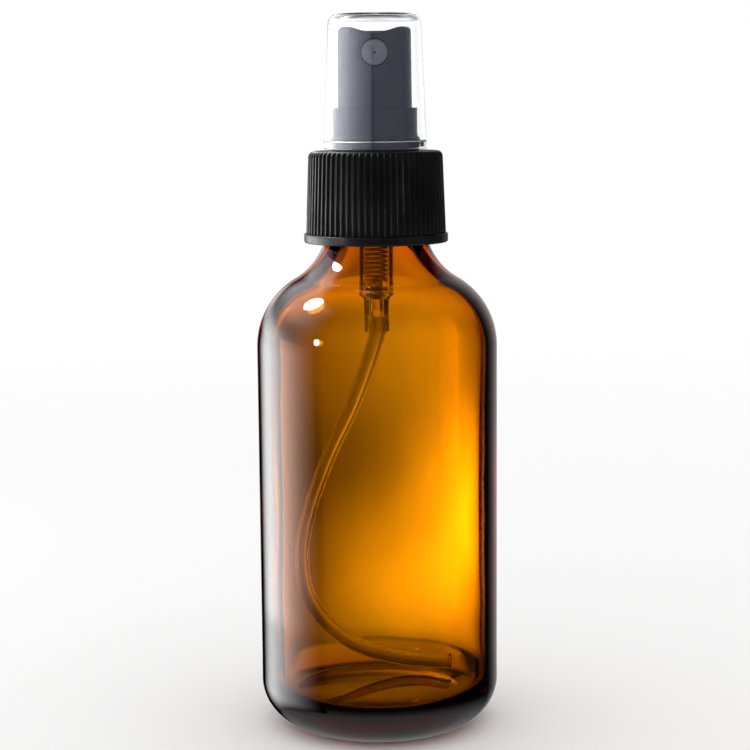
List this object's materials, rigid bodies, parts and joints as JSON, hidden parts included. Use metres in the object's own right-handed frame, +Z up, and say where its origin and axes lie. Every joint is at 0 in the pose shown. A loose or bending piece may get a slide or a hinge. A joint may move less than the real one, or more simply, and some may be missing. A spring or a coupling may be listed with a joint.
{
  "type": "spray bottle",
  "caption": "Amber glass Boston round bottle with a black screw-on fine-mist pump, coiled spring, curved dip tube and clear overcap.",
  "frame": {"origin": "centre of the bottle's base, on the surface that it stands on", "axes": "+Z up along the bottle's axis; the spray leaves the nozzle towards -Y; +X to the right seen from the nozzle's side"},
  "size_m": [0.0484, 0.0484, 0.143],
  "materials": {
    "amber_glass": "clear amber, fire polished",
    "closure_plastic": "satin black, moulded",
    "pump_plastic": "satin blue-black, moulded",
    "insert_plastic": "smooth dark grey",
    "cap_plastic": "water clear",
    "natural_plastic": "natural, translucent",
    "tube_plastic": "clear, extruded",
    "soft_plastic": "soft white",
    "spring_steel": "drawn wire",
    "ball_steel": "polished"
  },
  "bodies": {
    "bottle": {"bottle": "amber_glass"},
    "pump": {"pump_housing": "natural_plastic", "collar": "pump_plastic", "neck_gasket": "soft_plastic", "stem_seal": "soft_plastic", "return_spring": "spring_steel", "dip_tube": "tube_plastic"},
    "closure": {"closure": "closure_plastic"},
    "stem": {"stem": "natural_plastic", "stem_plug": "natural_plastic"},
    "actuator": {"actuator": "pump_plastic", "nozzle_insert": "insert_plastic"},
    "piston": {"piston": "soft_plastic"},
    "inlet_ball": {"inlet_ball": "ball_steel"},
    "overcap": {"overcap": "cap_plastic"}
  },
  "joints": [
    {"name": "closure_turn", "type": "hinge", "parent": "pump", "child": "closure", "pos_m": [0, 0, 0.107], "axis": [0, 0, 1], "range_deg": [0, 450]},
    {"name": "pump_rise", "type": "slide", "parent": "bottle", "child": "pump", "axis": [0, 0, 1], "range_m": [0, 0.004]},
    {"name": "actuator_press", "type": "slide", "parent": "pump", "child": "stem", "axis": [0, 0, -1], "range_m": [0, 0.004], "stiffness_N_per_m": 700, "springref_m": -0.006, "deforming": ["return_spring"]},
    {"name": "actuator_swivel", "type": "hinge", "parent": "stem", "child": "actuator", "pos_m": [0, 0, 0.13], "axis": [0, 0, 1], "continuous": true},
    {"name": "piston_follow", "type": "slide", "parent": "pump", "child": "piston", "axis": [0, 0, -1], "range_m": [0, 0.0036]},
    {"name": "ball_lift", "type": "slide", "parent": "pump", "child": "inlet_ball", "axis": [0, 0, 1], "range_m": [0, 0.0006]},
    {"name": "overcap_lift", "type": "slide", "parent": "pump", "child": "overcap", "axis": [0, 0, 1], "range_m": [0, 0.03]}
  ],
  "couplings": [
    {"joint": "pump_rise", "follows": "closure_turn", "m_per_rad": 0.00050532},
    {"joint": "piston_follow", "follows": "actuator_press", "ratio": 0.9}
  ]
}
